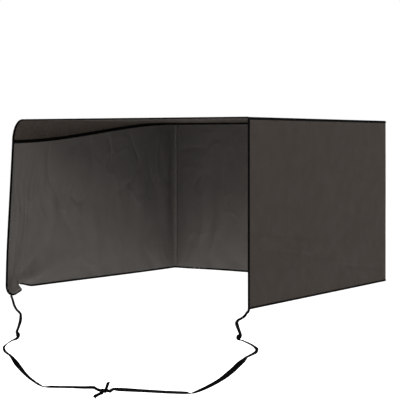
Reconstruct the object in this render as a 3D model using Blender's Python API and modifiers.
"""Air conditioner cover.

A cloth body cover for a window air conditioner: a top, two sides and a back, open at the front and
underneath. A black tape binds the top seam and the hem, and a black casing runs round the open
front. It holds a flat drawstring that leaves the two lower front corners and is knotted below.

Metres. The origin is under the middle of the top, where the cloth lies on the unit. +X is to the
right seen from the open front, +Y runs from the front to the back, +Z is up. The functions give
the middle of the cloth's thickness.
"""
import math

import bmesh
import bpy
from mathutils import Vector

# Outside sizes
WIDTH = 0.690
DEPTH = 0.730
HEIGHT = 0.4325
CLOTH = 0.0015
GAP = 0.0003

# Bindings, which lie edge to edge with the cloth that they finish
CASING_WIDE = 0.007
CASING_THICK = 0.003
HEM_TALL = 0.005
HEM_THICK = 0.0024
SEAM_DOWN = 0.003
SEAM_UP = 0.0043
SEAM_THICK = 0.0022
BENT_GAP = 0.0006

# Where the middle of the cloth lies
HALF = WIDTH / 2 - CLOTH / 2
FRONT = -DEPTH / 2
BACK = DEPTH / 2 - CLOTH / 2
TOP = CLOTH / 2
HEM = CLOTH - HEIGHT

# Crisp corners: the fold over the top edge, and the upright corners at the back
TURN = 0.002
CORNER = 0.006
WRAP = 0.001

# The slack left side at the front edge: its top corner is a quarter of an ellipse
LEFT_WIDE = 0.032
LEFT_TALL = 0.056
BULGE_TOP = 0.005
BULGE_MOST = 0.0275
BULGE_AT = 0.75
BULGE_POWER = 1.045
BULGE_HOLD = 8

# The lower left front corner, gathered in and under by the drawstring: down the last stretch of
# its edge the cloth turns by an angle, from one share of the stretch on and over another
DRAW_REACH = 0.055
DRAW_STEP = 0.001
DRAW_LENGTH = 0.0567
DRAW_TURN = math.radians(119.4)
DRAW_FROM = 0.32
DRAW_OVER = 0.538
DRAW_PARTS = 200
LIFT = 0.010
LIFT_AT = 0.050
LIFT_REACH = 0.060

# Creases of the right side: behind the front edge and height, at the start and at the end
CREASES = [
    (0.004, -0.252, 0.340, -0.296),
    (0.010, -0.292, 0.415, -0.349),
    (0.430, -0.363, 0.710, -0.398),
]
CREASE_DEEP = 0.0016
CREASE_HALF = 0.020
CREASE_END = 0.2

# Loose waves of the back, the left side and the top
BACK_WAVE = 0.0035
BACK_WAVES = 2.5
WAVE_EDGE = 0.08
WAVE_FULL = 0.4
DRAG_FOLD = 0.0030
DRAG_FOLDS = 11
DRAG_BEHIND = 0.10
DRAG_START = 0.12
DRAG_END = 0.55
TOP_RIDGE = 0.0020
RIDGE_X = 9.0
RIDGE_Y = 5.0
RIDGE_SHARP = 4
TOP_EDGE = 0.06
TOP_BEND = 0.012

# The drawstring, a flat woven tape
TAPE_WIDE = 0.012
TAPE_THICK = 0.0018
TAPE_FACES = Vector((0.543, -0.840, 0.0))
NOTCH = 0.011
TAPE_STEPS = 2

# Routes of the tape: x, y, z and the degrees that its face is turned away from TAPE_FACES
TIE_LEFT = [
    (-0.3540, -0.362, -0.4463, 57),
    (-0.3502, -0.362, -0.4540, 57),
    (-0.3446, -0.363, -0.4664, 54),
    (-0.3352, -0.365, -0.4766, 54),
    (-0.3234, -0.367, -0.4840, 53),
    (-0.3186, -0.368, -0.4897, 52),
    (-0.3194, -0.368, -0.5032, 49),
    (-0.3238, -0.369, -0.5177, 56),
    (-0.3266, -0.371, -0.5275, 58),
    (-0.3281, -0.372, -0.5330, 54),
    (-0.3226, -0.374, -0.5385, 16),
    (-0.3262, -0.373, -0.5464, 58),
    (-0.3389, -0.372, -0.5530, 84),
    (-0.3532, -0.370, -0.5597, 82),
    (-0.3680, -0.368, -0.5684, 106),
    (-0.3752, -0.367, -0.5769, 107),
    (-0.3710, -0.368, -0.5845, 106),
    (-0.3628, -0.369, -0.5892, 98),
    (-0.3514, -0.371, -0.5930, 97),
    (-0.3442, -0.372, -0.5971, 112),
    (-0.3338, -0.373, -0.6057, 138),
    (-0.3216, -0.374, -0.6162, 186),
    (-0.2923, -0.376, -0.6373, 222),
    (-0.2640, -0.377, -0.6521, 233),
    (-0.2500, -0.378, -0.6572, 239),
    (-0.2385, -0.378, -0.6598, 266),
    (-0.1990, -0.379, -0.6569, 273),
    (-0.1605, -0.379, -0.6535, 275),
    (-0.1052, -0.380, -0.6492, 280),
    (-0.0797, -0.380, -0.6466, 282),
    (-0.0704, -0.380, -0.6488, 278),
    (-0.0589, -0.380, -0.6505, 280),
]
TIE_RIGHT = [
    (0.3443, -0.362, -0.4318, 70),
    (0.3430, -0.362, -0.4347, 70),
    (0.3388, -0.362, -0.4390, 74),
    (0.3350, -0.363, -0.4449, 72),
    (0.3269, -0.364, -0.4510, 77),
    (0.3194, -0.366, -0.4560, 72),
    (0.3161, -0.367, -0.4618, 57),
    (0.3172, -0.368, -0.4663, 52),
    (0.3206, -0.368, -0.4744, 56),
    (0.3252, -0.369, -0.4831, 60),
    (0.3268, -0.370, -0.4884, 54),
    (0.3244, -0.372, -0.4939, 14),
    (0.3296, -0.372, -0.4984, 74),
    (0.3366, -0.371, -0.5010, 88),
    (0.3516, -0.369, -0.5061, 95),
    (0.3616, -0.368, -0.5110, 104),
    (0.3685, -0.367, -0.5170, 122),
    (0.3671, -0.368, -0.5226, 130),
    (0.3601, -0.369, -0.5277, 125),
    (0.3504, -0.371, -0.5330, 118),
    (0.3448, -0.372, -0.5360, 122),
    (0.3370, -0.373, -0.5438, 150),
    (0.3256, -0.374, -0.5536, 180),
    (0.3070, -0.375, -0.5704, 200),
    (0.2781, -0.377, -0.5924, 235),
    (0.2425, -0.378, -0.6137, 248),
    (0.2028, -0.379, -0.6305, 269),
    (0.1400, -0.380, -0.6352, 297),
    (0.0748, -0.380, -0.6386, 309),
    (0.0143, -0.380, -0.6425, 316),
    (-0.0072, -0.380, -0.6437, 315),
    (-0.0225, -0.380, -0.6462, 307),
    (-0.0381, -0.380, -0.6502, 303),
]
TAIL_UP = [
    (-0.0423, -0.380, -0.6458, 70),
    (-0.0395, -0.380, -0.6402, 70),
    (-0.0360, -0.381, -0.6342, 71),
    (-0.0328, -0.382, -0.6288, 74),
]
TAIL_DOWN = [
    (-0.0532, -0.380, -0.6562, 72),
    (-0.0600, -0.380, -0.6582, 68),
    (-0.0686, -0.381, -0.6625, 74),
    (-0.0765, -0.382, -0.6704, 66),
]
KNOT_AT = Vector((-0.0485, -0.380, -0.6504))
KNOT_HALF = Vector((0.0100, 0.0060, 0.0048))
KNOT_LUMP = 0.10
KNOT_LUMPS = 3
KNOT_TWIST = 4
KNOT_AROUND = 18
KNOT_ALONG = 11

# The wall's plan, one path from the right front edge round the back to the left front edge
SIDE_RUN = BACK - CORNER - FRONT
ARC_RUN = CORNER * math.pi / 2
WALL_RUN = 2 * (SIDE_RUN + ARC_RUN) + 2 * (HALF - CORNER)
PANEL_EDGE = CASING_WIDE + GAP
BACK_EDGE = SIDE_RUN + ARC_RUN + WRAP

# Colours, roughness
CLOTH_COLOUR = (0.055, 0.047, 0.041, 1.0)
TAPE_COLOUR = (0.004, 0.004, 0.004, 1.0)
CLOTH_ROUGH = 0.75
TAPE_ROUGH = 0.85


def ease(x):
    """Smooth step from 0 to 1."""
    x = min(max(x, 0.0), 1.0)
    return x * x * (3 - 2 * x)


def fade(behind, reach):
    """One at the front edge, falling smoothly to nothing this far behind it."""
    return 1 - ease(behind / reach)


def spread(u, stretches):
    """Place at the share u of all cells, in stretches of (start, end, cells)."""
    cells = u * sum(count for start, end, count in stretches)
    for start, end, count in stretches:
        if cells <= count + 1e-6:
            return start + (end - start) * cells / count
        cells -= count
    return stretches[-1][1]


def cells_of(stretches):
    """Number of cells in all the stretches."""
    return sum(count for start, end, count in stretches)


def top_corner(behind, left):
    """Width and height of the bend between the top and a side."""
    slack = fade(behind, DEPTH) if left else 0.0
    return TURN + (LEFT_WIDE - TURN) * slack, TURN + (LEFT_TALL - TURN) * slack


def bend_length(wide, tall):
    """About the length of a quarter of an ellipse."""
    return math.pi / 2 * math.sqrt((wide * wide + tall * tall) / 2)


def over_corner(behind, left, up):
    """How far in and how far below the top the cloth is, this far up its path from the seam."""
    wide, tall = top_corner(behind, left)
    bend = bend_length(wide, tall)
    if up >= bend:
        return wide + up - bend, 0.0
    angle = up / bend * math.pi / 2
    return wide * (1 - math.cos(angle)), tall * (1 - math.sin(angle))


def plan(run):
    """Plan point and outward normal along the wall's path."""
    if run > WALL_RUN / 2:
        x, y, nx, ny = plan(WALL_RUN - run)
        return -x, y, -nx, ny
    if run <= SIDE_RUN:
        return HALF, FRONT + run, 1.0, 0.0
    angle = (run - SIDE_RUN) / CORNER
    if angle < math.pi / 2:
        nx = math.cos(angle)
        ny = math.sin(angle)
        return HALF - CORNER + CORNER * nx, BACK - CORNER + CORNER * ny, nx, ny
    return HALF - CORNER - (run - SIDE_RUN - ARC_RUN), BACK, 0.0, 1.0


def wall_length(run):
    """Length of cloth from the top seam down to the hem's edge."""
    x, y, nx, ny = plan(run)
    left = x < 0
    length = TOP - top_corner(y - FRONT, left)[1] - HEM
    if left:
        length += DRAW_LENGTH * fade(y - FRONT, DRAW_REACH)
    return length


def bulge(behind, share):
    """How far the slack left side stands out."""
    rise = max(share, 0.0) / BULGE_AT
    rise = rise / (1 + rise ** BULGE_HOLD) ** (1 / BULGE_HOLD)
    return fade(behind, DEPTH) * (BULGE_TOP + (BULGE_MOST - BULGE_TOP) * rise ** BULGE_POWER)


def drawn_edge():
    """How far in and up the drawn edge is pulled, at even steps down its last stretch."""
    part = (1 - BULGE_AT) * (TOP - LEFT_TALL - HEM + DRAW_LENGTH) / DRAW_PARTS
    inward = 0.0
    raised = 0.0
    pulls = [(inward, raised)]
    for i in range(DRAW_PARTS):
        angle = DRAW_TURN * ease(((i + 0.5) / DRAW_PARTS - DRAW_FROM) / DRAW_OVER)
        inward += math.sin(angle) * part
        raised += (1 - math.cos(angle)) * part
        pulls.append((inward, raised))
    return pulls


DRAWN_EDGE = drawn_edge()


def drawn(tail):
    """How far in and up the edge is pulled at this share of its last stretch."""
    place = min(max(tail, 0.0), 1.0) * DRAW_PARTS
    i = min(int(place), DRAW_PARTS - 1)
    (inward, raised), (next_inward, next_raised) = DRAWN_EDGE[i:i + 2]
    part = place - i
    return inward + (next_inward - inward) * part, raised + (next_raised - raised) * part


def creases(behind, z):
    """Soft troughs of the right side, each along its own line."""
    total = 0.0
    for start, start_z, end, end_z in CREASES:
        along = (behind - start) / (end - start)
        line = start_z + (end_z - start_z) * along
        length = ease(along / CREASE_END) * ease((1 - along) / CREASE_END)
        total -= CREASE_DEEP * length * math.exp(-((z - line) / CREASE_HALF) ** 2)
    return total


def drag_folds(behind, share):
    """Folds of the left side, which fan out from its drawn corner."""
    rise = (1 - share) * HEIGHT
    angle = math.atan2(rise, behind)
    far = math.hypot(rise, behind)
    strength = ease(behind / DRAG_BEHIND) * ease(far / DRAG_START) * (1 - ease(far / DRAG_END))
    return DRAG_FOLD * strength * math.cos(DRAG_FOLDS * angle)


def back_waves(x, share):
    """Loose upright waves of the back, still at the seam and at the corners."""
    edge = ease((HALF - abs(x)) / WAVE_EDGE)
    return BACK_WAVE * edge * ease(share / WAVE_FULL) * math.sin(BACK_WAVES * math.pi * x / HALF)


def wall(run, down):
    """Point of the sides and the back, this far down the cloth from the top seam."""
    x, y, nx, ny = plan(run)
    behind = y - FRONT
    left = x < 0
    tall = top_corner(behind, left)[1]
    share = down / wall_length(run)
    z = TOP - tall - down
    if abs(ny) > abs(nx):
        out = back_waves(x, share)
    elif not left:
        out = creases(behind, z)
    else:
        out = bulge(behind, share) + drag_folds(behind, share)
        tail = max(0.0, (share - BULGE_AT) / (1 - BULGE_AT))
        inward, raised = drawn(tail)
        x += inward * fade(behind, DRAW_REACH)
        z += raised * fade(behind, DRAW_REACH)
        z += LIFT * tail * tail * (1 - ease(abs(behind - LIFT_AT) / LIFT_REACH))
    return Vector((x + nx * out, y + ny * out, z))


def seam(run, up):
    """Point near the top seam: above it the cloth goes over the corner, below it down the wall."""
    if up < 0:
        return wall(run, -up)
    x, y, nx, ny = plan(run)
    inward, drop = over_corner(y - FRONT, x < 0, up)
    start = wall(run, 0.0)
    return Vector((start.x - nx * inward, start.y - ny * inward, TOP - drop))


LEFT_CELLS = 26
FLAT_EDGE = over_corner(DEPTH, False, SEAM_UP + BENT_GAP)[0]
TOP_ACROSS = [(0.0, 1.0, 9), (1.0, 2.0, 22)]
TOP_BACK = [(FRONT + PANEL_EDGE, BACK - CORNER, LEFT_CELLS), (BACK - CORNER, BACK - FLAT_EDGE, 2)]


def top(u, v):
    """The top: over the slack corner from the left seam, then flat to the right seam."""
    y = spread(v, TOP_BACK)
    behind = y - FRONT
    across = spread(u, TOP_ACROSS)
    start = SEAM_UP + BENT_GAP
    bend = max(bend_length(*top_corner(behind, True)), start + TOP_BEND)
    seam_x = -HALF - bulge(behind, 0.0)
    if across <= 1.0:
        inward, drop = over_corner(behind, True, start + (bend - start) * across)
        x = seam_x + inward
    else:
        drop = 0.0
        first = seam_x + over_corner(behind, True, bend)[0]
        x = first + (HALF - FLAT_EDGE - first) * (across - 1.0)
    centre = Vector((HALF - CORNER, BACK - CORNER))
    beyond = Vector((abs(x) - centre.x, y - centre.y))
    reach = CORNER - FLAT_EDGE
    if beyond.x > 0 and beyond.y > 0 and beyond.length > reach:
        beyond = beyond.normalized() * reach
        x = math.copysign(centre.x + beyond.x, x)
        y = centre.y + beyond.y
    still = ease(min(HALF - abs(x), y - FRONT, BACK - y) / TOP_EDGE)
    ridge = TOP_RIDGE * still * math.sin(RIDGE_X * x + RIDGE_Y * y) ** RIDGE_SHARP
    return Vector((x, y, TOP - drop + ridge))


# Right side, right corner, top, left corner, then the left side and its drawn corner
CASING_STAGES = [(0, 1, 12), (1, 2, 4), (2, 3, 18), (3, 4, 9), (4, 4.7, 10), (4.7, 5, 20)]


def casing(u, v):
    """Round the open front: up the right side, over the top and down the slack left side."""
    behind = v * CASING_WIDE
    stage = spread(u, CASING_STAGES)
    if stage <= 1:
        return wall(behind, (1 - stage) * wall_length(behind))
    right_bend = bend_length(*top_corner(behind, False))
    left_bend = bend_length(*top_corner(behind, True))
    right_end = seam(behind, right_bend)
    left_end = seam(WALL_RUN - behind, left_bend)
    if stage <= 2:
        return seam(behind, (stage - 1) * right_bend)
    if stage <= 3:
        return right_end.lerp(left_end, stage - 2)
    if stage <= 4:
        return seam(WALL_RUN - behind, (4 - stage) * left_bend)
    return wall(WALL_RUN - behind, (stage - 4) * wall_length(WALL_RUN - behind))


SEAM_RUNS = [
    (PANEL_EDGE, SIDE_RUN, 14),
    (SIDE_RUN, SIDE_RUN + ARC_RUN, 4),
    (SIDE_RUN + ARC_RUN, WALL_RUN - SIDE_RUN - ARC_RUN, 14),
    (WALL_RUN - SIDE_RUN - ARC_RUN, WALL_RUN - SIDE_RUN, 4),
    (WALL_RUN - SIDE_RUN, WALL_RUN - PANEL_EDGE, LEFT_CELLS),
]
SEAM_UPS = [(-SEAM_DOWN, 0.0, 1), (0.0, bend_length(TURN, TURN), 3), (bend_length(TURN, TURN), SEAM_UP, 1)]
BOUND_END = WALL_RUN - DRAW_REACH - DRAW_STEP
HEM_RUNS = SEAM_RUNS[:4] + [(WALL_RUN - SIDE_RUN, BOUND_END - GAP, LEFT_CELLS)]
RIGHT_RUNS = [
    (PANEL_EDGE, SIDE_RUN, 36),
    (SIDE_RUN, SIDE_RUN + ARC_RUN, 3),
    (SIDE_RUN + ARC_RUN, BACK_EDGE, 1),
]
BACK_RUNS = [(BACK_EDGE + GAP, WALL_RUN - BACK_EDGE - GAP, 24)]
LEFT_RUNS = [
    (WALL_RUN - BACK_EDGE, WALL_RUN - SIDE_RUN - ARC_RUN, 1),
    (WALL_RUN - SIDE_RUN - ARC_RUN, WALL_RUN - SIDE_RUN, 3),
    (WALL_RUN - SIDE_RUN, BOUND_END, LEFT_CELLS),
    (BOUND_END, WALL_RUN - DRAW_REACH, 1),
    (WALL_RUN - DRAW_REACH, WALL_RUN - PANEL_EDGE, 8),
]
PLAIN_SHARES = [(0.0, 1.0, 10)]
RIGHT_SHARES = [(0.0, 1.0, 22)]
LEFT_SHARES = [(0.0, 0.70, 9), (0.70, 1.0, 16)]


def panel_place(runs, shares):
    """Function of the grid's u and v that places a side or back panel between its bindings."""
    def place(u, v):
        run = spread(u, runs)
        x, y = plan(run)[:2]
        unbound = x < 0 and y - FRONT < DRAW_REACH + DRAW_STEP / 2
        first = SEAM_DOWN + GAP
        last = wall_length(run) - (0.0 if unbound else HEM_TALL + GAP)
        return wall(run, first + (last - first) * spread(v, shares))
    return place


def seam_place(u, v):
    """Places the tape over the top seam."""
    return seam(spread(u, SEAM_RUNS), spread(v, SEAM_UPS))


def hem_place(u, v):
    """Places the tape along the hem."""
    run = spread(u, HEM_RUNS)
    return wall(run, wall_length(run) - HEM_TALL * v)


def smooth_route(rows, steps):
    """Rows read off one smooth curve through the given rows, with steps points to a span."""
    points = [Vector(row[:3]) for row in rows]
    knots = [0.0]
    for a, b in zip(points, points[1:]):
        knots.append(knots[-1] + (b - a).length)
    values = [Vector(row) for row in rows]
    slopes = []
    for i in range(len(rows)):
        before = max(i - 1, 0)
        after = min(i + 1, len(rows) - 1)
        slopes.append((values[after] - values[before]) / (knots[after] - knots[before]))
    out = []
    for i in range(len(rows) - 1):
        span = knots[i + 1] - knots[i]
        for step in range(steps):
            t = step / steps
            out.append(
                values[i] * (2 * t ** 3 - 3 * t * t + 1)
                + slopes[i] * span * (t ** 3 - 2 * t * t + t)
                + values[i + 1] * (3 * t * t - 2 * t ** 3)
                + slopes[i + 1] * span * (t ** 3 - t * t)
            )
    out.append(values[-1])
    return out


def tape_place(rows, notch=0.0):
    """Function that places a flat tape along its route, turned as each row says."""
    points = [Vector(row[:3]) for row in rows]

    def place(u, v):
        i = round(u * (len(rows) - 1))
        along = (points[min(i + 1, len(points) - 1)] - points[max(i - 1, 0)]).normalized()
        shown = along.cross(TAPE_FACES).normalized()
        hidden = along.cross(shown)
        turn = math.radians(rows[i][3])
        across = shown * math.cos(turn) + hidden * math.sin(turn)
        middle = 1 - abs(2 * v - 1)
        point = points[i] + across * TAPE_WIDE * (v - 0.5)
        if i == len(rows) - 1:
            point -= along * notch * middle
        return point
    return place


def material(name, colour, rough):
    """Principled material with one colour."""
    made = bpy.data.materials.new(name)
    made.use_nodes = True
    shader = made.node_tree.nodes["Principled BSDF"]
    shader.inputs["Base Color"].default_value = colour
    shader.inputs["Roughness"].default_value = rough
    shader.inputs["Metallic"].default_value = 0.0
    made.diffuse_color = colour
    return made


def put(name, mesh_builder, colour, rough, collection):
    """New object from a filled bmesh, in the cover's collection."""
    mesh = bpy.data.meshes.new(name)
    mesh_builder.to_mesh(mesh)
    mesh_builder.free()
    mesh.materials.append(material(name + "_finish", colour, rough))
    mesh.shade_smooth()
    made = bpy.data.objects.new(name, mesh)
    collection.objects.link(made)
    return made


def cloth(name, columns, rows, place, thickness, colour, rough, collection):
    """A piece of cloth or tape: a grid moved to its place, then given its thickness."""
    builder = bmesh.new()
    bmesh.ops.create_grid(builder, x_segments=columns, y_segments=rows, size=0.5)
    for vertex in builder.verts:
        vertex.co = place(vertex.co.x + 0.5, vertex.co.y + 0.5)
    made = put(name, builder, colour, rough, collection)
    wall_modifier = made.modifiers.new("Thickness", "SOLIDIFY")
    wall_modifier.thickness = thickness
    wall_modifier.offset = 0.0
    wall_modifier.use_even_offset = True
    return made


def panels(collection):
    """The top, the sides and the back."""
    cloth("top_panel", cells_of(TOP_ACROSS), cells_of(TOP_BACK), top,
          CLOTH, CLOTH_COLOUR, CLOTH_ROUGH, collection)
    for name, runs, shares in (
        ("right_panel", RIGHT_RUNS, RIGHT_SHARES),
        ("back_panel", BACK_RUNS, PLAIN_SHARES),
        ("left_panel", LEFT_RUNS, LEFT_SHARES),
    ):
        cloth(name, cells_of(runs), cells_of(shares), panel_place(runs, shares),
              CLOTH, CLOTH_COLOUR, CLOTH_ROUGH, collection)


def bindings(collection):
    """The top seam's tape, the hem's tape and the casing of the open front."""
    for name, columns, rows, place, thickness in (
        ("top_seam_binding", cells_of(SEAM_RUNS), cells_of(SEAM_UPS), seam_place, SEAM_THICK),
        ("hem_binding", cells_of(HEM_RUNS), 1, hem_place, HEM_THICK),
        ("front_casing", cells_of(CASING_STAGES), 2, casing, CASING_THICK),
    ):
        cloth(name, columns, rows, place, thickness, TAPE_COLOUR, TAPE_ROUGH, collection)


def drawstring(collection):
    """The two lengths of tape and the two free ends."""
    for name, route, across, notch in (
        ("tie_left", TIE_LEFT, 1, 0.0),
        ("tie_right", TIE_RIGHT, 1, 0.0),
        ("tie_tail_up", TAIL_UP, 1, 0.0),
        ("tie_tail_down", TAIL_DOWN, 2, NOTCH),
    ):
        rows = smooth_route(route, TAPE_STEPS)
        cloth(name, len(rows) - 1, across, tape_place(rows, notch),
              TAPE_THICK, TAPE_COLOUR, TAPE_ROUGH, collection)


def knot(collection):
    """The overhand knot, with the lumps of its turns."""
    builder = bmesh.new()
    bmesh.ops.create_uvsphere(builder, u_segments=KNOT_AROUND, v_segments=KNOT_ALONG, radius=1.0)
    for vertex in builder.verts:
        p = vertex.co.copy()
        turn = math.atan2(p.z, p.y)
        lump = 1 - KNOT_LUMP * (1 - p.x * p.x) * (0.5 + 0.5 * math.cos(KNOT_LUMPS * turn + KNOT_TWIST * p.x))
        vertex.co = KNOT_AT + Vector((p.x * KNOT_HALF.x, p.y * KNOT_HALF.y * lump, p.z * KNOT_HALF.z * lump))
    put("tie_knot", builder, TAPE_COLOUR, TAPE_ROUGH, collection)


def main():
    """Clears the scene and builds the cover."""
    for old in list(bpy.data.objects):
        bpy.data.objects.remove(old, do_unlink=True)
    collection = bpy.data.collections.new("air_conditioner_cover")
    bpy.context.scene.collection.children.link(collection)
    panels(collection)
    bindings(collection)
    drawstring(collection)
    knot(collection)


main()
